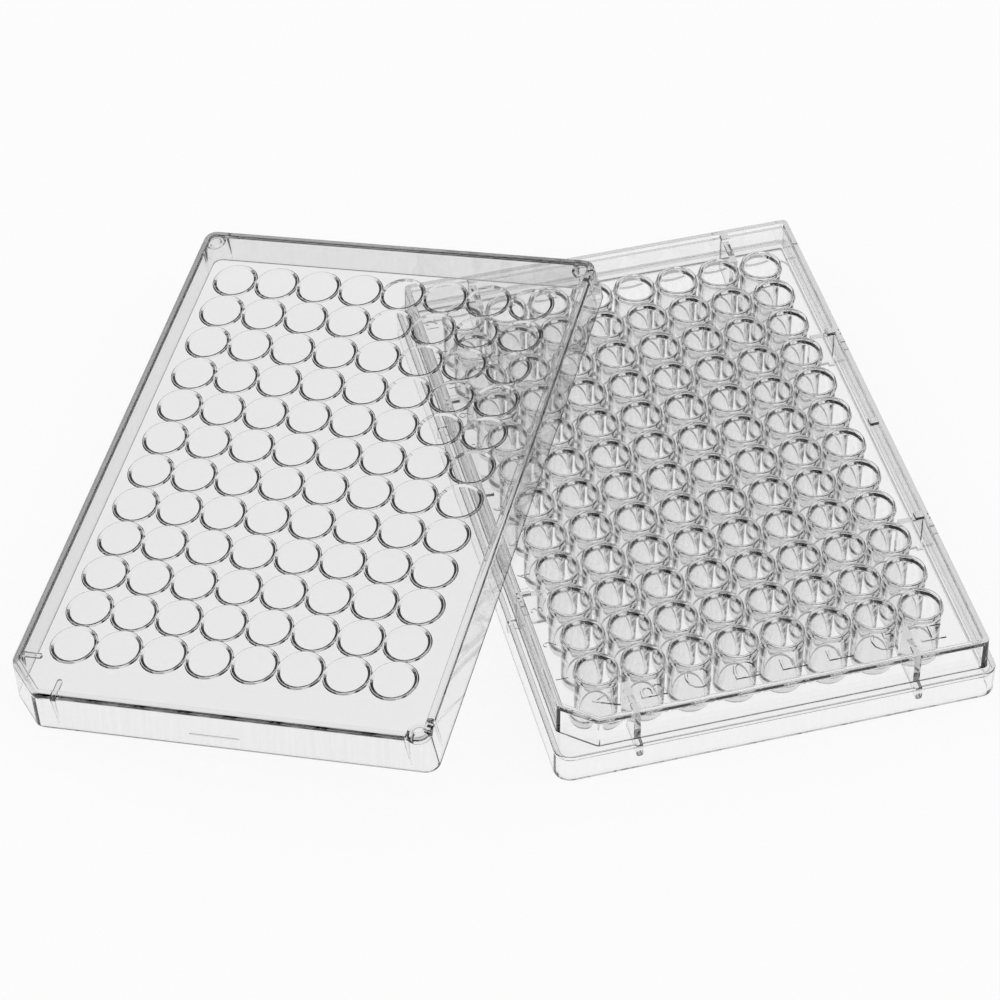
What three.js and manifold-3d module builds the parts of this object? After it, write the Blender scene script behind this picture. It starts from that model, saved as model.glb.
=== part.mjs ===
// A 96-well microplate and its lid, both clear polystyrene, in millimetres with +Z up.
// The plate stands on its flange. The lid has been taken off and leans on the plate: its cut
// corner is on the table, and its skirt crosses the plate's far left corner.
import * as THREE from 'three';
import { mergeVertices } from 'three/addons/utils/BufferGeometryUtils.js';
import Module from 'manifold-3d';

// ---- driving dimensions ----------------------------------------------------------------------
// Footprint, corner radius, flange height and well pitch follow the ANSI/SLAS plate standards.
const FOOT_X = 85.48;
const FOOT_Y = 127.76;
const FOOT_RADIUS = 3.18;
const FLANGE_HEIGHT = 6.1;
const PITCH = 9;
const COLUMNS = 8;
const ROWS = 12;

const PLATE_HEIGHT = 13.1; // table to the rims of the wells
const WALL = 1.05; // every wall, the deck and the flange's top
const WALL_X = 81.8; // upper wall, outside
const WALL_Y = 123.8;
const WALL_RADIUS = 1;
const WALL_DROP = 0.2; // from the rims down to the top of the upper wall
const DECK_DROP = 1; // from the rims down to the deck
const PLATE_CUT = new THREE.Vector2(6.4, 5.5); // the cut corner beside the first well
const WELL_OUTER = 4.1;
const WELL_INNER = 3.45;
const WELL_TAPER = 0.2; // how much narrower a bore is at its floor
const WELL_DEPTH = 10.9;
const WELL_FLOOR = 1.2;
const RIB_THICKNESS = 1.2;
const RIB_OFFSET = 3 * PITCH; // from the middle of each side
const RIB_FOOT = 3.6; // table to a rib's lower edge under the deck
const RIB_TIP = 2.6; // table to its lower edge inside the flange
const PAD = 1.7; // square pads on the deck where the ribs meet the wall
const PAD_DROP = 0.1; // from the top of the upper wall down to a pad's top

const LID_HEIGHT = 9;
const LID_WALL = 0.85;
const LID_CLEARANCE = 0.75; // between the skirt and the upper wall, all round
const LID_DRAFT = 0.7; // how far the skirt's lower edge stands outside its upper edge
const LID_RADIUS = 2.5;
const LID_CUT = new THREE.Vector2(7, 7.2);
const LID_PANEL = 1.1; // thickness of the top
const LID_RIDGE = new THREE.Vector2(1.4, 0.5); // stacking ridge round the top: width, height
const CHANNEL_INNER = 4.05; // a narrow channel under the top, round the place over each well
const CHANNEL_WIDTH = 0.5;
const CHANNEL_DEPTH = 0.26;
const CORNER_DISC = new THREE.Vector2(2.5, 0.6); // inside the three square corners: radius, height
const DISC_INSET = 0.5; // from the skirt's inner faces to a disc's middle

// How the lid lies, seen from above the middle of the plate. Its tilt comes from what it rests on.
const LID_MIDDLE = new THREE.Vector2(-70.47, 11.69);
const LID_YAW = THREE.MathUtils.degToRad(-30.07);
const LID_OVER_LEFT = -21.6; // how far along Y its skirt crosses the plate's left wall
const LID_OVER_BACK = -32.2; // how far along X it crosses the back wall
const LID_REST_GAP = 0.2; // between the skirt and the two walls

// Round things are polygons here, with flat sides facing along X and Y.
const WELL_SIDES = 8;
const DISC_SIDES = 12;
const CORNER_STEPS = 2; // straight steps round a corner
const LEAST_RADIUS = 0.4; // of a corner inside a wall
const OVERLAP = 0.3; // how far one piece of a joined solid reaches into the next

// ---- solids ----------------------------------------------------------------------------------
const wasm = await Module();
wasm.setup();

function toSolid(geometry) {
  const bare = geometry.clone();
  bare.deleteAttribute('normal');
  bare.deleteAttribute('uv');
  const merged = mergeVertices(bare, 1e-4);
  return new wasm.Manifold(new wasm.Mesh({
    numProp: 3,
    vertProperties: new Float32Array(merged.attributes.position.array),
    triVerts: new Uint32Array(merged.index.array),
  }));
}

function toGeometry(solid) {
  const mesh = solid.getMesh();
  const geometry = new THREE.BufferGeometry();
  geometry.setAttribute('position', new THREE.BufferAttribute(mesh.vertProperties, 3));
  geometry.setIndex(new THREE.BufferAttribute(mesh.triVerts, 1));
  geometry.computeVertexNormals();
  return geometry;
}

function joinAll(solids) {
  return solids.reduce((joined, solid) => joined.add(solid));
}

/** A rectangle about the origin with round corners, or a straight cut across its -X -Y corner. */
function outline(sizeX, sizeY, radius, cut) {
  const x = sizeX / 2;
  const y = sizeY / 2;
  const shape = new THREE.Shape();
  if (cut) {
    shape.moveTo(-x, -y + cut.y);
    shape.lineTo(-x + cut.x, -y);
  } else {
    shape.absarc(-x + radius, -y + radius, radius, Math.PI, 1.5 * Math.PI);
  }
  shape.absarc(x - radius, -y + radius, radius, -0.5 * Math.PI, 0);
  shape.absarc(x - radius, y - radius, radius, 0, 0.5 * Math.PI);
  shape.absarc(-x + radius, y - radius, radius, 0.5 * Math.PI, Math.PI);
  return shape;
}

/** The same rectangle moved inwards by a distance; a 45 degree cut moves by 2 - sqrt(2) of it. */
function inset(sizeX, sizeY, radius, cut, distance) {
  const shorter = distance * (2 - Math.SQRT2);
  return outline(
    sizeX - 2 * distance, sizeY - 2 * distance, Math.max(radius - distance, LEAST_RADIUS),
    cut && new THREE.Vector2(cut.x - shorter, cut.y - shorter));
}

function prism(shape, bottom, top) {
  return new THREE.ExtrudeGeometry(
    shape, { depth: top - bottom, bevelEnabled: false, curveSegments: CORNER_STEPS })
    .translate(0, 0, bottom);
}

/** Spreads a prism towards its lower end, which leaves the draft that a moulded wall has. */
function spread(geometry, sizeX, sizeY, height, growth) {
  const position = geometry.attributes.position;
  for (let i = 0; i < position.count; i++) {
    const share = (height - position.getZ(i)) / height;
    position.setX(i, position.getX(i) * (1 + 2 * growth * share / sizeX));
    position.setY(i, position.getY(i) * (1 + 2 * growth * share / sizeY));
  }
  return geometry;
}

/** An upright polygon cylinder with the same area as the true circle, so its bulk is right. */
function pillar(topRadius, bottomRadius, bottom, top, sides = WELL_SIDES) {
  const grown = Math.sqrt(2 * Math.PI / (sides * Math.sin(2 * Math.PI / sides)));
  const geometry = new THREE.CylinderGeometry(
    topRadius * grown, bottomRadius * grown, top - bottom, sides, 1, false, Math.PI / sides);
  return geometry.rotateX(Math.PI / 2).translate(0, 0, (bottom + top) / 2);
}

function box(x0, x1, y0, y1, z0, z1) {
  return new THREE.BoxGeometry(x1 - x0, y1 - y0, z1 - z0)
    .translate((x0 + x1) / 2, (y0 + y1) / 2, (z0 + z1) / 2);
}

/** Calls make(x, y) for the middle of each well and returns what it gave. */
function overWells(make) {
  const made = [];
  for (let column = 0; column < COLUMNS; column++) {
    for (let row = 0; row < ROWS; row++) {
      made.push(make((column - (COLUMNS - 1) / 2) * PITCH, (row - (ROWS - 1) / 2) * PITCH));
    }
  }
  return made;
}

// ---- the plate -------------------------------------------------------------------------------
const deckTop = PLATE_HEIGHT - DECK_DROP;
const deckUnderside = deckTop - WALL;
const wellFloor = PLATE_HEIGHT - WELL_DEPTH;

/** Flange, upper wall and deck: one shell, open below. */
function plateShell() {
  const flange = toSolid(prism(outline(FOOT_X, FOOT_Y, FOOT_RADIUS), 0, FLANGE_HEIGHT));
  const wall = toSolid(prism(
    outline(WALL_X, WALL_Y, WALL_RADIUS, PLATE_CUT), FLANGE_HEIGHT - OVERLAP, PLATE_HEIGHT - WALL_DROP));
  const underFlange = toSolid(prism(
    inset(FOOT_X, FOOT_Y, FOOT_RADIUS, null, WALL), -OVERLAP, FLANGE_HEIGHT - WALL));
  const underDeck = toSolid(prism(
    inset(WALL_X, WALL_Y, WALL_RADIUS, PLATE_CUT, WALL), -OVERLAP, deckUnderside));
  const aboveDeck = toSolid(prism(
    inset(WALL_X, WALL_Y, WALL_RADIUS, PLATE_CUT, WALL), deckTop, PLATE_HEIGHT + OVERLAP));
  return flange.add(wall).subtract(underFlange).subtract(underDeck).subtract(aboveDeck);
}

/** One upright web from the outer wells to the upper wall and on into the flange, along +X. */
function rib(wallHalf, footHalf, fieldHalf) {
  const start = fieldHalf - PITCH / 2;
  const wallFace = wallHalf - WALL + OVERLAP;
  const flangeFace = footHalf - WALL + OVERLAP;
  const insideFlange = FLANGE_HEIGHT - WALL + OVERLAP;
  const side = new THREE.Shape([
    new THREE.Vector2(start, RIB_FOOT),
    new THREE.Vector2(wallHalf - 2 * WALL, RIB_FOOT),
    new THREE.Vector2(wallHalf - WALL, RIB_TIP),
    new THREE.Vector2(flangeFace, RIB_TIP),
    new THREE.Vector2(flangeFace, insideFlange),
    new THREE.Vector2(wallFace, insideFlange),
    new THREE.Vector2(wallFace, deckUnderside + OVERLAP),
    new THREE.Vector2(start, deckUnderside + OVERLAP),
  ]);
  return new THREE.ExtrudeGeometry(side, { depth: RIB_THICKNESS, bevelEnabled: false })
    .translate(0, 0, -RIB_THICKNESS / 2)
    .rotateX(Math.PI / 2);
}

function plateSolid() {
  const fieldX = COLUMNS * PITCH / 2;
  const fieldY = ROWS * PITCH / 2;
  const parts = [plateShell()];
  for (const side of [-1, 1]) {
    for (const place of [-RIB_OFFSET, RIB_OFFSET]) {
      const across = rib(WALL_X / 2, FOOT_X / 2, fieldX);
      const along = rib(WALL_Y / 2, FOOT_Y / 2, fieldY);
      parts.push(toSolid(across.rotateZ(side > 0 ? 0 : Math.PI).translate(0, place, 0)));
      parts.push(toSolid(along.rotateZ(side * Math.PI / 2).translate(place, 0, 0)));
    }
    for (const place of [-RIB_OFFSET, 0, RIB_OFFSET]) {
      const inner = WALL_X / 2 - WALL - PAD;
      const outer = inner + PAD + OVERLAP;
      parts.push(toSolid(box(
        Math.min(side * inner, side * outer), Math.max(side * inner, side * outer),
        place - PAD / 2, place + PAD / 2, deckTop - OVERLAP, PLATE_HEIGHT - WALL_DROP - PAD_DROP)));
    }
  }
  parts.push(...overWells((x, y) => toSolid(
    pillar(WELL_OUTER, WELL_OUTER, wellFloor - WELL_FLOOR, PLATE_HEIGHT).translate(x, y, 0))));
  const bores = overWells((x, y) => toSolid(
    pillar(WELL_INNER, WELL_INNER - WELL_TAPER, wellFloor, PLATE_HEIGHT + OVERLAP).translate(x, y, 0)));
  return joinAll(parts).subtract(joinAll(bores));
}

// ---- the lid ---------------------------------------------------------------------------------
// The skirt's lower edge clears the upper wall, so the lid drops over it.
const lidX = WALL_X + 2 * (LID_CLEARANCE + LID_WALL - LID_DRAFT);
const lidY = WALL_Y + 2 * (LID_CLEARANCE + LID_WALL - LID_DRAFT);
const panelTop = LID_HEIGHT - LID_RIDGE.y;
const panelUnderside = panelTop - LID_PANEL;

function lidSolid() {
  const outside = toSolid(spread(
    prism(outline(lidX, lidY, LID_RADIUS, LID_CUT), 0, LID_HEIGHT), lidX, lidY, LID_HEIGHT, LID_DRAFT));
  const hollow = toSolid(spread(
    prism(inset(lidX, lidY, LID_RADIUS, LID_CUT, LID_WALL), -OVERLAP, panelUnderside),
    lidX, lidY, LID_HEIGHT, LID_DRAFT));
  const withinRidge = toSolid(prism(
    inset(lidX, lidY, LID_RADIUS, LID_CUT, LID_RIDGE.x), panelTop, LID_HEIGHT + OVERLAP));
  const shell = outside.subtract(hollow).subtract(withinRidge);

  // The channels hold back what condenses over each well.
  const channelRoof = panelUnderside + CHANNEL_DEPTH;
  const channels = joinAll(overWells((x, y) => toSolid(
    pillar(CHANNEL_INNER + CHANNEL_WIDTH, CHANNEL_INNER + CHANNEL_WIDTH,
      panelUnderside - OVERLAP, channelRoof).translate(x, y, 0))));
  const islands = joinAll(overWells((x, y) => toSolid(
    pillar(CHANNEL_INNER, CHANNEL_INNER, panelUnderside, channelRoof + OVERLAP).translate(x, y, 0))));

  const discs = [];
  for (const [signX, signY] of [[1, -1], [1, 1], [-1, 1]]) {
    const x = signX * (lidX / 2 - LID_WALL - DISC_INSET);
    const y = signY * (lidY / 2 - LID_WALL - DISC_INSET);
    discs.push(toSolid(pillar(
      CORNER_DISC.x, CORNER_DISC.x, panelUnderside - CORNER_DISC.y, panelUnderside + OVERLAP, DISC_SIDES)
      .translate(x, y, 0)));
  }
  const inside = joinAll(discs).intersect(outside);
  return shell.subtract(channels).add(islands).add(inside);
}

// ---- the scene graph -------------------------------------------------------------------------
function clearPlastic(colour) {
  return new THREE.MeshStandardMaterial({ color: colour, roughness: 0.08, metalness: 0 });
}

const plate = new THREE.Mesh(toGeometry(plateSolid()), clearPlastic(0xe9ecee));
plate.name = 'well_plate';

/** The lid's tilt: its skirt's lower edge meets the table at the cut corner, and the two walls. */
function lidRotation() {
  const up = new THREE.Vector3(0, 0, 1);
  const wallTop = PLATE_HEIGHT - WALL_DROP + LID_REST_GAP;
  const onTable = new THREE.Vector3(-lidX / 2 - LID_DRAFT, -lidY / 2 - LID_DRAFT + LID_CUT.y, 0)
    .applyAxisAngle(up, LID_YAW)
    .add(new THREE.Vector3(LID_MIDDLE.x, LID_MIDDLE.y, 0));
  const onLeftWall = new THREE.Vector3(-WALL_X / 2, LID_OVER_LEFT, wallTop);
  const onBackWall = new THREE.Vector3(LID_OVER_BACK, WALL_Y / 2, wallTop);
  const normal = new THREE.Plane().setFromCoplanarPoints(onTable, onLeftWall, onBackWall).normal
    .applyAxisAngle(up, -LID_YAW);
  return new THREE.Euler(-Math.asin(normal.y), Math.atan2(normal.x, normal.z), LID_YAW, 'ZYX');
}

const lid = new THREE.Mesh(toGeometry(lidSolid()), clearPlastic(0xeff1f2));
lid.name = 'lid';
lid.position.set(LID_MIDDLE.x, LID_MIDDLE.y, 0);
lid.rotation.copy(lidRotation());
lid.position.z -= new THREE.Box3().setFromObject(lid, true).min.z; // down onto the table

// The origin is under the middle of the pair, on the table.
const pair = new THREE.Group();
pair.add(plate, lid);
const extent = new THREE.Box3().setFromObject(pair, true);
const middle = extent.getCenter(new THREE.Vector3());
pair.position.set(-middle.x, -middle.y, -extent.min.z);

const wellPlateAndLid = new THREE.Group();
wellPlateAndLid.add(pair);
export default wellPlateAndLid;
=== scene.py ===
# %% [markdown]
# # A 96-well plate with its lid off
# A microplate is one injection moulding of clear polystyrene: 96 small cups in a shallow tray on a
# stepped flange. Its lid is a second moulding, shown taken off and leaning across one corner.
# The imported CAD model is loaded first, because it fixes the place and the reach of both pieces.

# %% Load the frame
import math

import bmesh
import bpy
from mathutils import Matrix, Vector


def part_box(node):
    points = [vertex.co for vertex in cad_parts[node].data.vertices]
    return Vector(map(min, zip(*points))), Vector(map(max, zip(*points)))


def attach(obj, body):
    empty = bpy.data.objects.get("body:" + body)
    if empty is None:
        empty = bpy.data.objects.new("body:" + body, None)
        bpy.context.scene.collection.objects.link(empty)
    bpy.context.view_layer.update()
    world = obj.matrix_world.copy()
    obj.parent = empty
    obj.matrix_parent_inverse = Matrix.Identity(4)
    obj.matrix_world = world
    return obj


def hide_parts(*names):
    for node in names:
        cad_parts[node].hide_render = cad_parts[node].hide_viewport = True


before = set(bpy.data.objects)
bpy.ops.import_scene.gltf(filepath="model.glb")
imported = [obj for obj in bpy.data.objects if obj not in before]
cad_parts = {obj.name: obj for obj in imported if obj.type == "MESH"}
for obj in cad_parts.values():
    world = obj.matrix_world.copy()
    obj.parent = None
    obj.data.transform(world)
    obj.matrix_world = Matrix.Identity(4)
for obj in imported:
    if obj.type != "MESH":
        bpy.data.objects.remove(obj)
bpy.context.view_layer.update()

# %% [markdown]
# Lengths are written in millimetres, as on a mould drawing, and turned to metres in one place.
# Three small helpers pick what the next operator works on. An operator acts on all that is
# selected, so everything is deselected first, and edges or faces are then chosen by place.

# %% Picking things
MM = 0.001
NEAR = 0.01  # mm; how close to a height counts as at it


def pick_only(piece):
    """Makes one object the only selected one, and the active one."""
    bpy.ops.object.select_all(action="DESELECT")
    piece.select_set(True)
    bpy.context.view_layer.objects.active = piece


def edit_edges(piece, wanted):
    """Edit mode, with the edges selected whose middle and direction pass the test, in mm."""
    pick_only(piece)
    bpy.ops.object.mode_set(mode="EDIT")
    bpy.ops.mesh.select_mode(type="EDGE")
    bpy.ops.mesh.select_all(action="DESELECT")
    shape = bmesh.from_edit_mesh(piece.data)
    for edge in shape.edges:
        start, end = (corner.co / MM for corner in edge.verts)
        if end != start and wanted((start + end) / 2, (end - start).normalized()):
            edge.select_set(True)
    bmesh.update_edit_mesh(piece.data)


def edit_faces(piece, wanted):
    """Edit mode, with the faces selected whose middle and normal pass the test, in mm."""
    pick_only(piece)
    bpy.ops.object.mode_set(mode="EDIT")
    bpy.ops.mesh.select_mode(type="FACE")
    bpy.ops.mesh.select_all(action="DESELECT")
    shape = bmesh.from_edit_mesh(piece.data)
    for face in shape.faces:
        if wanted(face.calc_center_median() / MM, face.normal):
            face.select_set(True)
    bmesh.update_edit_mesh(piece.data)


def leave_edit():
    bpy.ops.object.mode_set(mode="OBJECT")


# %% [markdown]
# Moulded walls have round edges, because sharp ones crack and trap the plastic. So the helpers for
# shaping are a block, a rounded edge, a straight cut across a corner, and a change of a top face
# that gives walls their draft.

# %% Shaping blocks
def block(name, low, high):
    """A box between two corners in mm."""
    bpy.ops.object.select_all(action="DESELECT")
    low, high = Vector(low) * MM, Vector(high) * MM
    bpy.ops.mesh.primitive_cube_add(size=1, location=(low + high) / 2, scale=high - low)
    piece = bpy.context.object
    piece.name = name
    bpy.ops.object.transform_apply(location=True, rotation=True, scale=True)
    return piece


def round_edges(piece, radius, steps, wanted):
    edit_edges(piece, wanted)
    bpy.ops.mesh.bevel(offset=radius * MM, segments=steps, affect="EDGES", clamp_overlap=False)
    leave_edit()


def cut_across(piece, corner, cut):
    """Cuts the -X -Y corner off along a straight line that leaves cut[0] and cut[1] mm."""
    edit_faces(piece, lambda middle, normal: True)
    start = Vector((corner[0], corner[1] + cut[1], 0))
    end = Vector((corner[0] + cut[0], corner[1], 0))
    outward = (end - start).cross(Vector((0, 0, 1))).normalized()
    if outward.x > 0:
        outward.negate()
    bpy.ops.mesh.bisect(plane_co=start * MM, plane_no=outward, use_fill=True, clear_outer=True)
    leave_edit()


def scale_top(piece, height, scale_x, scale_y):
    """Scales every corner at one height about the Z axis, which tapers the walls below it."""
    edit_edges(piece, lambda middle, way: abs(middle.z - height) < NEAR and abs(way.z) < 0.01)
    bpy.ops.transform.resize(value=(scale_x, scale_y, 1), center_override=(0, 0, 0))
    leave_edit()


def upright(middle, way):
    return abs(way.z) > 0.9


# %% [markdown]
# A solid is joined to another, or cut away from it, with a Boolean modifier that is applied at
# once. The wells repeat 96 times, so one is modelled and copied along X and Y by Array modifiers.

# %% Joining and repeating
def combine(piece, other, how, solver="MANIFOLD"):
    """UNION joins the other solid to the piece, and DIFFERENCE cuts it away."""
    pick_only(piece)
    change = piece.modifiers.new("combine", "BOOLEAN")
    change.operation, change.object, change.solver = how, other, solver
    bpy.ops.object.modifier_apply(modifier=change.name)
    bpy.data.objects.remove(other)
    return piece


def repeat(piece, counts, step):
    pick_only(piece)
    for axis in (0, 1):
        rows = piece.modifiers.new("rows", "ARRAY")
        rows.count = counts[axis]
        rows.use_relative_offset = False
        rows.use_constant_offset = True
        rows.constant_offset_displace = [step * MM if axis == n else 0 for n in range(3)]
        bpy.ops.object.modifier_apply(modifier=rows.name)
    return piece


def report(piece):
    sides = sum(len(face.vertices) - 2 for face in piece.data.polygons)
    shape = bmesh.new()
    shape.from_mesh(piece.data)
    loose = sum(1 for edge in shape.edges if len(edge.link_faces) != 2)
    print(f"{piece.name}: {sides} triangles, {loose} open edges, "
          f"{shape.calc_volume() / MM ** 3 / 1000:.2f} cm3")
    shape.free()


# %% [markdown]
# ## The plate's shell
# The outside is two steps: a wide flange that robots and holders grip, and a narrower upper wall
# with one corner cut, which shows which way round the plate is. The inside follows both steps a
# wall's thickness in. Blocks with bevelled edges give exact flats, which clear plastic shows up
# far more than any curve, so this is better than a smoothed mesh.

# %% Plate sizes
PITCH = 9
COLUMNS, ROWS = 8, 12
FOOT = (42.74, 63.88)  # half sizes, outside
FLANGE_TOP = 6.1
WALL_FOOT = (41.05, 62.05)
WALL_TOP = (40.9, 61.9)
PLATE_TOP = 13.1
LIP = 12.9
DECK = 12.1
WALL = 1.05
DECK_UNDER = 11.4
PLATE_CUT = (6.4, 5.5)
INNER_CUT = (PLATE_CUT[0] - 0.615, PLATE_CUT[1] - 0.615)
FLANGE_CORNER, FLANGE_CORNER_INSIDE = 3.18, 2.1
WALL_CORNER, WALL_CORNER_INSIDE = 1.0, 0.6
PLATE_ROUND = {"flange": 0.45, "foot": 0.15, "deck": 0.15, "lip": 0.08, "seam": 0.3}
print("plate:", 2 * FOOT[0], "x", 2 * FOOT[1], "x", PLATE_TOP, "mm")


def tray(name, half, low, high, radius, cut=None):
    """A block about the Z axis with round upright corners, or a cut across the first of them."""
    piece = block(name, (-half[0], -half[1], low), (half[0], half[1], high))
    if cut:
        cut_across(piece, (-half[0], -half[1]), cut)
    square = (lambda middle: not (cut and middle.x < 0 and middle.y < 0))
    round_edges(piece, radius, 6, lambda middle, way: upright(middle, way) and square(middle))
    return piece


# %% Flange and upper wall
plate = tray("well_plate_shell", FOOT, 0, FLANGE_TOP, FLANGE_CORNER)
round_edges(plate, PLATE_ROUND["flange"], 4, lambda middle, way: middle.z > FLANGE_TOP - NEAR)
round_edges(plate, PLATE_ROUND["foot"], 2, lambda middle, way: middle.z < NEAR)

upper = tray("upper_wall", WALL_FOOT, FLANGE_TOP - 0.6, LIP, WALL_CORNER, PLATE_CUT)
round_edges(upper, PLATE_ROUND["seam"], 3, lambda middle, way: upright(middle, way)
            and middle.x + middle.y < -WALL_FOOT[0] - WALL_FOOT[1] + 7)  # the cut's two edges
scale_top(upper, LIP, WALL_TOP[0] / WALL_FOOT[0], WALL_TOP[1] / WALL_FOOT[1])
combine(plate, upper, "UNION", "EXACT")
round_edges(plate, PLATE_ROUND["seam"], 3, lambda middle, way: abs(middle.z - FLANGE_TOP) < NEAR
            and abs(middle.x) < WALL_FOOT[0] + 0.2 and abs(middle.y) < WALL_FOOT[1] + 0.2)

# %% Hollows above and below the deck
inner = (WALL_TOP[0] - WALL, WALL_TOP[1] - WALL)
below_flange = tray("below_flange", (FOOT[0] - WALL, FOOT[1] - WALL), -1, FLANGE_TOP - WALL,
                    FLANGE_CORNER_INSIDE)
round_edges(below_flange, PLATE_ROUND["seam"], 2,
            lambda middle, way: middle.z > FLANGE_TOP - WALL - NEAR)
combine(plate, below_flange, "DIFFERENCE", "EXACT")
below_deck = tray("below_deck", inner, -1, DECK_UNDER, WALL_CORNER_INSIDE, INNER_CUT)
round_edges(below_deck, PLATE_ROUND["seam"], 2,
            lambda middle, way: middle.z > DECK_UNDER - NEAR)
combine(plate, below_deck, "DIFFERENCE", "EXACT")
above_deck = tray("above_deck", inner, DECK, LIP + 1, WALL_CORNER_INSIDE, INNER_CUT)
round_edges(above_deck, PLATE_ROUND["deck"], 2, lambda middle, way: middle.z < DECK + NEAR)
combine(plate, above_deck, "DIFFERENCE", "EXACT")
round_edges(plate, PLATE_ROUND["lip"], 2, lambda middle, way: abs(middle.z - LIP) < NEAR)
report(plate)

# %% [markdown]
# ## Ribs and pads
# Thin webs under the deck tie the outer wells to the walls and stop the long sides from bowing.
# They run on down inside the flange to a round end. Small square pads on the deck mark where they
# meet the wall, and a few fine notches in the lip let air in under the lid. Each is a block, and
# one is turned to make the others, so that all are alike.

# %% Ribs
RIB = 1.3
RIB_FOOT = 3.6
RIB_TIP = 2.6
RIB_PLACE = 3 * PITCH
SINK = 0.3  # how far a joined piece reaches into what carries it
TIP_REACH, TIP_ROUND = 1.6, 0.55


def rib(wall_half, foot_half, start):
    """A web along +X from the outer wells to the wall, with its lower end inside the flange."""
    web = block("rib", (start, -RIB / 2, RIB_FOOT),
                (wall_half - WALL / 2, RIB / 2, DECK_UNDER + SINK))
    tip = block("rib_tip", (wall_half - TIP_REACH, -RIB / 2, RIB_TIP),
                (foot_half - WALL / 2, RIB / 2, FLANGE_TOP - WALL / 2))
    round_edges(tip, TIP_ROUND, 4,
                lambda middle, way: middle.z < RIB_TIP + NEAR and abs(way.x) > 0.9)
    return combine(web, tip, "UNION")


def place(piece, x, y, turn):
    pick_only(piece)
    piece.rotation_euler = (0, 0, math.radians(turn))
    piece.location = (x * MM, y * MM, 0)
    bpy.ops.object.transform_apply(location=True, rotation=True, scale=True)
    return piece


for side in (1, -1):
    for along in (-RIB_PLACE, RIB_PLACE):
        across = rib(WALL_TOP[0], FOOT[0], COLUMNS * PITCH / 2 - 1)
        combine(plate, place(across, 0, along, 0 if side > 0 else 180), "UNION")
        lengthwise = rib(WALL_TOP[1], FOOT[1], ROWS * PITCH / 2 - 1)
        combine(plate, place(lengthwise, along, 0, 90 * side), "UNION")
report(plate)

# %% Pads and notches
PAD = 1.7
PAD_TOP = LIP - 0.1
PAD_ROUND = 0.12
NOTCH = 0.35
NOTCH_PLACES = (-28.6, -27.4, 25.4, 26.6)


def pad(name):
    piece = block(name, (inner[0] - PAD, -PAD / 2, DECK - SINK),
                  (inner[0] + SINK, PAD / 2, PAD_TOP))
    round_edges(piece, PAD_ROUND, 2, lambda middle, way: middle.z > PAD_TOP - NEAR)
    return piece


for turn in (0, 180):
    for along in (-RIB_PLACE, 0, RIB_PLACE):
        combine(plate, place(pad("pad"), 0, along, turn), "UNION")
    for along in (-RIB_PLACE, RIB_PLACE):
        far = inner[1] - inner[0]
        combine(plate, place(pad("pad"), along, far if turn == 0 else -far, 90 + turn), "UNION")
    for along in NOTCH_PLACES:
        nick = block("nick", (inner[0] + WALL - NOTCH, -NOTCH / 2, LIP - NOTCH),
                     (inner[0] + WALL + 0.5, NOTCH / 2, LIP + 0.5))
        combine(plate, place(nick, 0, along, turn), "DIFFERENCE")
report(plate)

# %% [markdown]
# ## The wells
# A well is a straight tube with a flat floor. Its bore opens a little towards the rim, and its
# floor corner is rounded by the mould. Those small slopes are what draws the bright and dark
# circles in clear plastic. One tube and one bore are made from cylinders, their edges are bevelled
# or flared, and each is repeated.

# %% One tube and one bore
WELL_OUTER = 4.1
BORE_TOP, BORE_FOOT = 3.45, 3.3
TUBE_FOOT = 0.3
BORE_FLOOR = 2.1
RIM = 0.08  # radius of the rim's outer edge
FLARE = (0.9, 3.88)  # height, and radius at the rim
FILLET = 0.28  # where the tube meets the deck
FOOT_ROUND, FLOOR_ROUND = 0.5, 0.45
WELL_SIDES = 32


def cylinder(name, radius, low, high, sides=WELL_SIDES):
    bpy.ops.object.select_all(action="DESELECT")
    bpy.ops.mesh.primitive_cylinder_add(
        vertices=sides, radius=radius * MM, depth=(high - low) * MM, end_fill_type="NGON",
        location=(0, 0, (low + high) / 2 * MM))
    piece = bpy.context.object
    piece.name = name
    bpy.ops.object.transform_apply(location=True, rotation=True, scale=True)
    return piece


def ring_at(height):
    return lambda middle, way: abs(middle.z - height) < NEAR and abs(way.z) < 0.1


def draw_top(piece, radius, steps):
    """Draws the top face upwards in steps of (rise, new radius) from its present radius."""
    edit_faces(piece, lambda middle, normal: normal.z > 0.9)
    for rise, wider in steps:
        bpy.ops.mesh.extrude_region_move(TRANSFORM_OT_translate={"value": (0, 0, rise * MM)})
        scale = wider / radius
        bpy.ops.transform.resize(value=(scale, scale, 1), center_override=(0, 0, 0))
        radius = wider
    leave_edit()


tube = cylinder("tube", WELL_OUTER, TUBE_FOOT, DECK_UNDER - FILLET)
draw_top(tube, WELL_OUTER, [
    (FILLET, WELL_OUTER + FILLET), (DECK - DECK_UNDER, WELL_OUTER + FILLET), (FILLET, WELL_OUTER),
    (PLATE_TOP - DECK - FILLET, WELL_OUTER)])
round_edges(tube, RIM, 2, ring_at(PLATE_TOP))
round_edges(tube, FOOT_ROUND, 4, ring_at(TUBE_FOOT))

bore = cylinder("bore", BORE_TOP, BORE_FLOOR, PLATE_TOP - FLARE[0])
scale = BORE_FOOT / BORE_TOP
edit_edges(bore, ring_at(BORE_FLOOR))
bpy.ops.transform.resize(value=(scale, scale, 1), center_override=(0, 0, 0))
leave_edit()
round_edges(bore, FLOOR_ROUND, 3, ring_at(BORE_FLOOR))
draw_top(bore, BORE_TOP, [(FLARE[0], FLARE[1]), (0.5, FLARE[1])])
print("tube and bore:", len(tube.data.polygons), len(bore.data.polygons), "faces")

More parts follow.
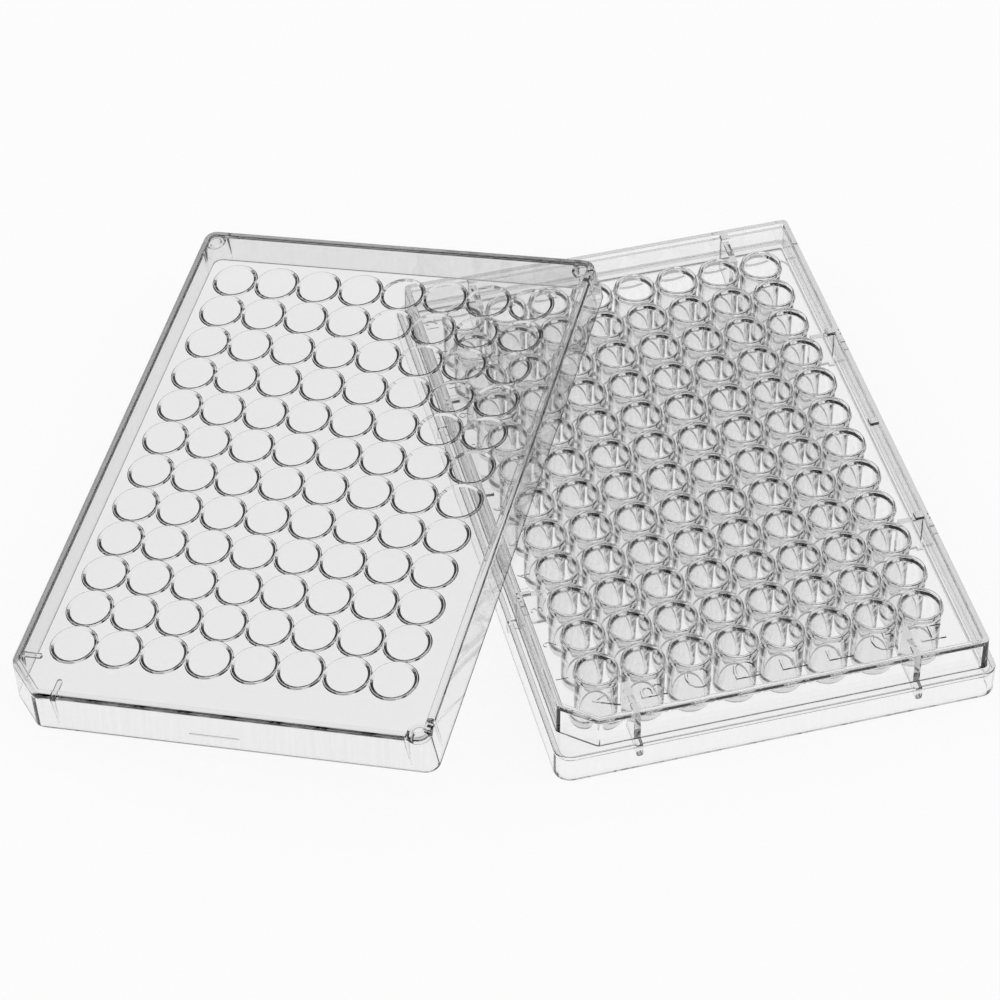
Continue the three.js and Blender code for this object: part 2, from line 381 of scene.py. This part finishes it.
# %% All 96 of them
first = (-(COLUMNS - 1) / 2 * PITCH, -(ROWS - 1) / 2 * PITCH)
for piece, how in ((tube, "UNION"), (bore, "DIFFERENCE")):
    place(piece, first[0], first[1], 0)
    combine(plate, repeat(piece, (COLUMNS, ROWS), PITCH), how)
report(plate)

# %% [markdown]
# ## Grid labels
# Small raised letters and numbers on the deck name the wells. They are text made a mesh, with
# sloping sides that let it out of the mould, and joined to the deck as part of the same moulding.

# %% Letters along the front, numbers up the left side
LABEL_DEPTH = 0.05
LABEL_SLOPE = 0.03  # share of a letter's height
CAPITAL = 0.7  # height of a capital in a font of size 1
LETTERS, NUMBERS = (-58.7, 5.0), (-37.9, 2.4)  # place beside the wells, and height


def label(text, x, y, height, align):
    """Text read from the plate's right side, lying on the deck."""
    bpy.ops.object.select_all(action="DESELECT")
    bpy.ops.object.text_add(location=(0, 0, 0))
    words = bpy.context.object
    words.data.body = text
    words.data.size = height * MM / CAPITAL
    words.data.align_x, words.data.align_y = align, "CENTER"
    slope = height * LABEL_SLOPE * MM
    words.data.extrude = LABEL_DEPTH * MM
    words.data.bevel_depth = slope
    words.data.bevel_resolution = 0
    words.data.offset = -slope
    words.data.resolution_u = 3
    bpy.ops.object.convert(target="MESH")
    piece = bpy.context.object
    pick_only(piece)
    bpy.ops.object.mode_set(mode="EDIT")
    bpy.ops.mesh.select_all(action="SELECT")
    bpy.ops.mesh.remove_doubles(threshold=0.002 * MM)
    bpy.ops.mesh.normals_make_consistent(inside=False)
    leave_edit()
    piece.rotation_euler = (0, 0, math.radians(90))
    piece.location = (x * MM, y * MM, DECK * MM)
    bpy.ops.object.transform_apply(location=True, rotation=True, scale=True)
    return piece


labels = []
for column in range(COLUMNS):
    labels.append(label("ABCDEFGH"[column], first[0] + column * PITCH, *LETTERS, "LEFT"))
for row in range(ROWS):
    labels.append(label(str(row + 1), NUMBERS[0], first[1] + row * PITCH, NUMBERS[1], "CENTER"))
print("labels:", len(labels))
for piece in labels:
    combine(plate, piece, "UNION")
report(plate)

# %% [markdown]
# ## The lid's shell
# The lid is a shallow cap whose skirt leans out a little, so it drops over the upper wall. A low
# ridge runs round its top, and a plate stacked on it sits inside that ridge. It is modelled lying
# flat about its own middle, with its skirt's lower edge at height 0.

# %% Lid sizes
LID_FOOT = (42.5, 63.5)  # half sizes at the skirt's lower edge
LID_TOP = (41.8, 62.8)
LID_HEIGHT = 9
LID_WALL = 0.85
PANEL_TOP = 8.5
PANEL_UNDER = 7.4
RIDGE = 1.4
LID_CUT = (7, 7.2)
LID_CORNER, LID_CORNER_INSIDE, RIDGE_CORNER = 2.5, 1.7, 1.1
LID_ROUND = {"cut": 1.0, "foot": 0.2, "hollow": 0.4, "top": 0.7, "ridge": 0.34, "recess": 0.2}
print("lid:", 2 * LID_FOOT[0], "x", 2 * LID_FOOT[1], "x", LID_HEIGHT, "mm")


def less(cut, distance):
    return tuple(side - distance * (2 - math.sqrt(2)) for side in cut)


# %% Skirt, top and ridge
def capped(name, shrink, low, high, radius):
    """A tapered block like the lid's outside, a distance inside it."""
    foot = (LID_FOOT[0] - shrink, LID_FOOT[1] - shrink)
    top = (LID_TOP[0] - shrink, LID_TOP[1] - shrink)
    piece = tray(name, foot, low, high, radius, less(LID_CUT, shrink))
    share = (high - max(low, 0)) / LID_HEIGHT
    scale_top(piece, high, 1 - (1 - top[0] / foot[0]) * share, 1 - (1 - top[1] / foot[1]) * share)
    return piece


lid = capped("lid_shell", 0, 0, LID_HEIGHT, LID_CORNER)
round_edges(lid, LID_ROUND["cut"], 5,
            lambda middle, way: upright(middle, way) and middle.x + middle.y < -90)
round_edges(lid, LID_ROUND["foot"], 3, lambda middle, way: middle.z < NEAR)
hollow = capped("lid_hollow", LID_WALL, 0, PANEL_UNDER, LID_CORNER_INSIDE)
edit_faces(hollow, lambda middle, normal: normal.z < -0.9)
bpy.ops.mesh.extrude_region_move(TRANSFORM_OT_translate={"value": (0, 0, -1 * MM)})
leave_edit()
round_edges(hollow, LID_ROUND["hollow"], 3, lambda middle, way: middle.z > PANEL_UNDER - NEAR)
combine(lid, hollow, "DIFFERENCE", "EXACT")
inside = (LID_TOP[0] - RIDGE, LID_TOP[1] - RIDGE)
round_edges(lid, LID_ROUND["top"], 6, lambda middle, way: abs(middle.z - LID_HEIGHT) < NEAR)
recess = tray("within_ridge", inside, PANEL_TOP, LID_HEIGHT + 1, RIDGE_CORNER,
              less(LID_CUT, RIDGE))
round_edges(recess, LID_ROUND["recess"], 3, lambda middle, way: middle.z < PANEL_TOP + NEAR)
combine(lid, recess, "DIFFERENCE", "EXACT")
round_edges(lid, LID_ROUND["ridge"], 4, lambda middle, way: abs(middle.z - LID_HEIGHT) < NEAR
            and abs(middle.x) < inside[0] + 0.05 and abs(middle.y) < inside[1] + 0.05)
report(lid)

# %% [markdown]
# ## Circles under the lid
# A narrow channel is moulded round the place over each well, and it holds back what condenses
# there. Its sides slope, as they must to leave the mould. Neighbouring channels just run into each
# other, so they are cut in four sets, none of which touches itself.

# %% Channels
CHANNEL = (3.85, 4.38, 4.46, 4.7)  # inner edge, the two sides of its roof, outer edge
CHANNEL_DEPTH = 0.48
CHANNEL_SIDES = 40

for shift in ((0, 0), (1, 1), (1, 0), (0, 1)):
    channel = cylinder("channel", CHANNEL[3], PANEL_UNDER - 0.5, PANEL_UNDER, CHANNEL_SIDES)
    draw_top(channel, CHANNEL[3], [(CHANNEL_DEPTH, CHANNEL[2])])
    core = cylinder("core", CHANNEL[0], PANEL_UNDER - 1, PANEL_UNDER, CHANNEL_SIDES)
    draw_top(core, CHANNEL[0], [(CHANNEL_DEPTH, CHANNEL[1]), (0.3, CHANNEL[1])])
    combine(channel, core, "DIFFERENCE")
    place(channel, first[0] + shift[0] * PITCH, first[1] + shift[1] * PITCH, 0)
    combine(lid, repeat(channel, (COLUMNS // 2, ROWS // 2), 2 * PITCH), "DIFFERENCE")
report(lid)

# %% [markdown]
# ## The lid's corners
# Three corners have a dished round boss that rests on the plate, and the cut corner has two short
# ribs. Slim wedges run down the skirt beside them and hold the lid central on the plate.

# %% Bosses, ribs and wedges
skirt = (LID_TOP[0] - LID_WALL, LID_TOP[1] - LID_WALL)
BOSS_TIP, BOSS_ROOT, BOSS_DROP = 1.75, 2.25, 0.6
DISH_EDGE, DISH_FLOOR, DISH_DEPTH = 1.4, 1.0, 0.45
BOSS_IN = 2.35  # from the lid's outside to the middle of a boss
BOSS_SIDES, WEDGE_SIDES = 32, 16
WEDGE_TIP = 1.3
WEDGE_THIN, WEDGE_THICK = 0.12, 0.62
WEDGE_LONG, WEDGE_SHORT = 57.75, 37.6  # along the long walls, and along the short ones
RIB_IN = 4.1
RIB_DROP = 0.8
SIDE_RIB, END_RIB = -52.75, -31.3


def wedge(name):
    """A half-buried cone down the skirt's inner face along +X, with its tip near the bottom."""
    piece = cylinder(name, WEDGE_THIN, WEDGE_TIP, WEDGE_TIP + 0.2, WEDGE_SIDES)
    draw_top(piece, WEDGE_THIN, [(PANEL_UNDER - WEDGE_TIP, WEDGE_THICK)])
    edit_faces(piece, lambda middle, normal: normal.z > 0.9)
    bpy.ops.transform.translate(value=(-0.5 * MM, 0, 0))
    leave_edit()
    return place(piece, skirt[0] + 0.42, 0, 0)


def short_rib(name):
    """A low rib under the panel, from the skirt inwards along +X, with a round end."""
    piece = block(name, (skirt[0] - RIB_IN, -0.5, PANEL_UNDER - RIB_DROP),
                  (skirt[0] + SINK, 0.5, PANEL_UNDER + SINK))
    round_edges(piece, 0.48, 4,
                lambda middle, way: upright(middle, way) and middle.x < skirt[0] - 1)
    round_edges(piece, 0.2, 2, lambda middle, way: middle.z < PANEL_UNDER - RIB_DROP + NEAR)
    return piece


far = skirt[1] - skirt[0]
for side_x, side_y in ((1, -1), (1, 1), (-1, 1)):
    boss = cylinder("boss", BOSS_TIP, PANEL_UNDER - BOSS_DROP, PANEL_UNDER - 0.5, BOSS_SIDES)
    draw_top(boss, BOSS_TIP, [(0.5, BOSS_ROOT), (SINK, BOSS_ROOT)])
    dish = cylinder("dish", DISH_EDGE, PANEL_UNDER - 1, PANEL_UNDER - BOSS_DROP, BOSS_SIDES)
    draw_top(dish, DISH_EDGE, [(DISH_DEPTH, DISH_FLOOR)])
    combine(boss, dish, "DIFFERENCE")
    place(boss, side_x * (LID_TOP[0] - BOSS_IN), side_y * (LID_TOP[1] - BOSS_IN), 0)
    combine(lid, boss, "UNION")
    combine(lid, place(wedge("wedge"), 0, side_y * WEDGE_LONG, 0 if side_x > 0 else 180), "UNION")
    combine(lid, place(wedge("wedge"), side_x * WEDGE_SHORT, side_y * far, 90 * side_y), "UNION")

for x, y, turn in ((0, SIDE_RIB, 180), (END_RIB, -far, -90)):
    combine(lid, place(short_rib("short_rib"), x, y, turn), "UNION")
    combine(lid, place(wedge("wedge"), x, y, turn), "UNION")
report(lid)

# %% [markdown]
# A fine line on the front of the skirt is where the mould's halves or its gate left a mark. It is
# cut with a thin block. The many cuts leave a few faces with no area, which are dissolved last,
# because a closed mesh with no such faces is easier to reuse.

# %% Mark left by the mould, and a last clean of the mesh
MARK = (9.8, 0.3, 3.0)  # length, width and height above the skirt's edge

mark = block("mark", (-MARK[0] / 2, -LID_FOOT[1] - 1, MARK[2] - MARK[1] / 2),
             (MARK[0] / 2, -LID_FOOT[1] + 0.5, MARK[2] + MARK[1] / 2))
combine(lid, mark, "DIFFERENCE")
pick_only(lid)
bpy.ops.object.mode_set(mode="EDIT")
bpy.ops.mesh.select_all(action="SELECT")
bpy.ops.mesh.dissolve_degenerate(threshold=0.0005 * MM)
leave_edit()
report(lid)

# %% [markdown]
# ## Putting both in their places
# Both pieces were made about their own middles. The plate moves to the middle of its CAD box. The
# lid is turned as it leans, with its cut corner on the table and its skirt on the plate's walls.
# Then each place goes into the mesh.

# %% Place the pieces
def middle_of(node):
    low, high = (Vector(corner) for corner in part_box(node))
    return (low + high) / 2, low


LID_TURN = (math.radians(3.212), math.radians(-7.199), math.radians(-30.07))

pick_only(plate)
middle, low = middle_of("well_plate")
plate.location = (middle.x, middle.y, low.z)
bpy.ops.object.transform_apply(location=True, rotation=True, scale=True)

pick_only(lid)
lid.rotation_euler = LID_TURN
bpy.ops.object.transform_apply(location=True, rotation=True, scale=True)
corners = [Vector(corner) for corner in lid.bound_box]
own_low = Vector([min(corner[n] for corner in corners) for n in range(3)])
own_high = Vector([max(corner[n] for corner in corners) for n in range(3)])
middle, low = middle_of("lid")
lid.location = (middle.x - (own_low.x + own_high.x) / 2, middle.y - (own_low.y + own_high.y) / 2,
                low.z - own_low.z)
bpy.ops.object.transform_apply(location=True, rotation=True, scale=True)

# %% [markdown]
# Flats must stay perfectly flat in clear plastic, or they bend what is seen through them. Curves
# are shaded smooth up to 40 degrees, and weighted normals keep the flats beside them true.

# %% Smooth shading
for piece in (plate, lid):
    pick_only(piece)
    bpy.ops.object.shade_smooth_by_angle(angle=math.radians(40))
    weigh = piece.modifiers.new("flat_faces", "WEIGHTED_NORMAL")
    weigh.keep_sharp = True
    bpy.ops.object.modifier_apply(modifier=weigh.name)
    print(piece.name, "has", sum(face.use_smooth for face in piece.data.polygons), "smooth faces")

# %% [markdown]
# ## The material
# Crystal polystyrene is clear and hard, with a refractive index of 1.59 and a polished skin that
# copies the mould. So its look is nearly all refraction. Light that runs a long way inside the
# plastic along a wall comes out a little darker, which is why rims and edges look darker than
# flats. Upright walls also get a painted shade: their colour is a little grey, in upright streaks,
# while flats stay white. The streaks are partly the faint draw lines that walls sliding out of the
# mould keep, which are hundredths of a millimetre wide on a real plate and are drawn about three
# quarters of a millimetre wide here so that they show. A glass shader with a volume inside gives
# all of this, where a see-through surface alone would have no dark edges.

# %% Colours and nodes
def linear(hex_colour):
    """The linear colour of an sRGB hex value."""
    parts = [int(hex_colour[n:n + 2], 16) / 255 for n in (1, 3, 5)]
    return [p / 12.92 if p <= 0.04045 else ((p + 0.055) / 1.055) ** 2.4 for p in parts] + [1]


def add_node(tree, kind, settings=None, inputs=None, links=None):
    """Adds one shader node with its settings, its input values and links into its inputs."""
    node = tree.nodes.new(kind)
    for name, value in (settings or {}).items():
        setattr(node, name, value)
    for name, value in (inputs or {}).items():
        node.inputs[name].default_value = value
    for name, output in (links or {}).items():
        tree.links.new(output, node.inputs[name])
    return node


# %% Moulded clear polystyrene
WHITE, BLACK = "#FFFFFF", "#000000"
IOR, POLISH = 1.59, 0.004
# The streaks are painted shade on upright walls, and partly the mould's draw lines.
LINES, LINE_LENGTH = 1.3, 25  # draw lines in a millimetre, and how many times as long as wide
A, B, MIXED = 6, 7, 2  # a Mix node's colour sockets


def clear_polystyrene(name, streak_shade_colour, upright_shade_colour, density):
    """Clear and polished; upright walls get streaks of painted shade, partly draw lines, flats
    none.
    """
    material = bpy.data.materials.new(name)
    material.use_nodes = True
    tree = material.node_tree
    tree.nodes.clear()
    place_on = add_node(tree, "ShaderNodeTexCoord")
    drawn_out = add_node(tree, "ShaderNodeMapping",
                         inputs={"Scale": (1 / MM, 1 / MM, 1 / MM / LINE_LENGTH)},
                         links={"Vector": place_on.outputs["Object"]})
    lines = add_node(tree, "ShaderNodeTexNoise", inputs={"Scale": LINES, "Detail": 1.0},
                     links={"Vector": drawn_out.outputs["Vector"]})
    share = add_node(tree, "ShaderNodeMapRange", inputs={1: 0.3, 2: 0.7, 3: 0.0, 4: 1.0},
                     links={0: lines.outputs["Fac"]})
    # Painted shade: the upright walls' colour, a little grey, and darker still in the streaks.
    wall = add_node(tree, "ShaderNodeMix", {"data_type": "RGBA"},
                    inputs={A: linear(streak_shade_colour), B: linear(upright_shade_colour)},
                    links={0: share.outputs[0]})
    facing = add_node(tree, "ShaderNodeNewGeometry")
    parts = add_node(tree, "ShaderNodeSeparateXYZ", links={0: facing.outputs["Normal"]})
    # Flats stay white, so the painted shade falls only on upright walls.
    flat = add_node(tree, "ShaderNodeMath", {"operation": "ABSOLUTE"},
                    links={0: parts.outputs["Z"]})
    clear = add_node(tree, "ShaderNodeMix", {"data_type": "RGBA"}, inputs={B: linear(WHITE)},
                     links={0: flat.outputs[0], A: wall.outputs[MIXED]})
    plastic = add_node(
        tree, "ShaderNodeBsdfPrincipled",
        inputs={"Roughness": POLISH, "IOR": IOR, "Transmission Weight": 1.0},
        links={"Base Color": clear.outputs[MIXED]})
    body = add_node(tree, "ShaderNodeVolumeAbsorption",
                    inputs={"Color": linear(BLACK), "Density": density})
    add_node(tree, "ShaderNodeOutputMaterial",
             links={"Surface": plastic.outputs["BSDF"], "Volume": body.outputs["Volume"]})
    return material


# The lid's plastic takes more of the light than the plate's, so its thin walls still draw lines.
# The lid's upright walls are also a little grey all over, a stronger painted shade than the
# plate's.
for piece, streak_shade_colour, upright_shade_colour, density in (
        (plate, "#FCFCFC", WHITE, 34.0), (lid, "#F7F7F7", "#FDFDFD", 90.0)):
    piece.data.materials.clear()
    piece.data.materials.append(clear_polystyrene(
        f"moulded_clear_polystyrene_{piece.name}", streak_shade_colour, upright_shade_colour, density))
print("materials:", [m.name for m in bpy.data.materials])

# %% [markdown]
# ## The table
# Clear things are shown on a bright ground, because nearly all that the eye gets from them is the
# ground seen through them. The table is a plain white plane, the same for the camera and for the
# plastic, and a small matt share of it keeps a faint shadow. Seen from below it isn't there.

# %% Floor
MATT_SHARE = 0.12

bpy.ops.object.select_all(action="DESELECT")
bpy.ops.mesh.primitive_plane_add(size=8, location=(0, 0, -0.05 * MM))
floor = bpy.context.object
floor.name = "floor"
white = bpy.data.materials.new("matt_white_table")
white.use_nodes = True
tree = white.node_tree
tree.nodes.clear()
glow = add_node(tree, "ShaderNodeEmission", inputs={"Color": linear(WHITE), "Strength": 1.0})
matt = add_node(tree, "ShaderNodeBsdfDiffuse", inputs={"Color": linear(WHITE)})
both = add_node(tree, "ShaderNodeMixShader", inputs={0: MATT_SHARE},
                links={1: glow.outputs[0], 2: matt.outputs[0]})
side = add_node(tree, "ShaderNodeNewGeometry")
nothing = add_node(tree, "ShaderNodeBsdfTransparent")
one_sided = add_node(tree, "ShaderNodeMixShader",
                     links={0: side.outputs["Backfacing"], 1: both.outputs[0],
                            2: nothing.outputs[0]})
add_node(tree, "ShaderNodeOutputMaterial", links={"Surface": one_sided.outputs[0]})
floor.data.materials.append(white)
print("floor:", [round(side, 1) for side in floor.dimensions], "m")

# %% [markdown]
# ## The light
# Edges draw themselves as dark lines where they show a darker part of the room. So one long softbox
# hangs overhead, from the front to the back, and the room is dark at the two sides and near the
# horizon. Matt things see an even white room, which keeps the table's shadow soft. All of it is in
# the world, because a lamp in the room would show as a hard spot in every well.

# %% Studio light
SIDE = (0.969, -0.246, 0)  # level, and square to the softbox's length
LAMP = 0.6
DARK = 0.03  # share of the lamp's light near the horizon
EDGE = (0.3, 0.55)  # where the change from light to dark begins and ends

world = bpy.data.worlds.new("studio")
bpy.context.scene.world = world
world.use_nodes = True
tree = world.node_tree
tree.nodes.clear()
way = add_node(tree, "ShaderNodeTexCoord")
aside = add_node(tree, "ShaderNodeVectorMath", {"operation": "DOT_PRODUCT"},
                 inputs={1: SIDE}, links={0: way.outputs["Generated"]})
apart = add_node(tree, "ShaderNodeMath", {"operation": "ABSOLUTE"},
                 links={0: aside.outputs["Value"]})
softbox = add_node(tree, "ShaderNodeMapRange", inputs={1: EDGE[0], 2: EDGE[1], 3: LAMP, 4: 0.0},
                   links={0: apart.outputs[0]})
ray = add_node(tree, "ShaderNodeLightPath")
by_matt = add_node(tree, "ShaderNodeMath", {"operation": "MINIMUM"}, inputs={1: 1.0},
                   links={0: ray.outputs["Diffuse Depth"]})
height = add_node(tree, "ShaderNodeSeparateXYZ", links={0: way.outputs["Generated"]})
risen = add_node(tree, "ShaderNodeMapRange", inputs={1: EDGE[0], 2: EDGE[1], 3: DARK, 4: 1.0},
                 links={0: height.outputs["Z"]})
lamp = add_node(tree, "ShaderNodeMath", {"operation": "MULTIPLY"},
                links={0: softbox.outputs[0], 1: risen.outputs[0]})
level = add_node(tree, "ShaderNodeMix", {"data_type": "FLOAT"}, inputs={3: 1.0},
                 links={0: by_matt.outputs[0], 2: lamp.outputs[0]})
sky = add_node(tree, "ShaderNodeBackground", inputs={"Color": linear(WHITE)},
               links={"Strength": level.outputs[0]})
add_node(tree, "ShaderNodeOutputWorld", links={"Surface": sky.outputs[0]})
print("world:", [node.bl_idname for node in tree.nodes])

# %% [markdown]
# ## The camera
# A long lens from high up, a little to one side of the plate's length, keeps the rows of wells
# nearly parallel and shows into them. The camera is turned in three steps, so that its roll can be
# set apart from where it looks.

# %% Camera
LENS = 132.04  # mm, on a sensor 36 mm wide
EYE = (-114.05, -496.87, 513.39)
EYE_TURN = ((-14.258, "Z"), (44.868, "X"), (-0.588, "Z"))  # degrees, outermost turn first

eye = bpy.data.objects.new("camera", bpy.data.cameras.new("camera"))
bpy.context.collection.objects.link(eye)
eye.data.lens = LENS
eye.data.sensor_width = 36
eye.data.clip_start, eye.data.clip_end = 0.01, 20
eye.matrix_world = Matrix.Translation(Vector(EYE) * MM)
for turn, axis in EYE_TURN:
    eye.matrix_world = eye.matrix_world @ Matrix.Rotation(math.radians(turn), 4, axis)
bpy.context.scene.camera = eye
print("camera:", [round(n, 3) for n in eye.matrix_world.translation], "m, lens", LENS, "mm")

# %% [markdown]
# ## The path of light
# A look through a row of wells passes dozens of surfaces. A path that is cut short turns black, so
# it is allowed many steps. Standard is the view that shows colours as they are written.

# %% Light path
STEPS = 18

cycles = bpy.context.scene.cycles
cycles.max_bounces = STEPS
cycles.transmission_bounces = STEPS
cycles.glossy_bounces = 12
bpy.context.scene.view_settings.view_transform = "Standard"
print("light path:", cycles.max_bounces, "steps")

# %% [markdown]
# ## Riding on the body
# Each piece rides on the one body and stands for its CAD node, which is hidden.

# %% Ride and replace
for piece, node in ((plate, "well_plate"), (lid, "lid")):
    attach(piece, "root")
    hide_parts(node)
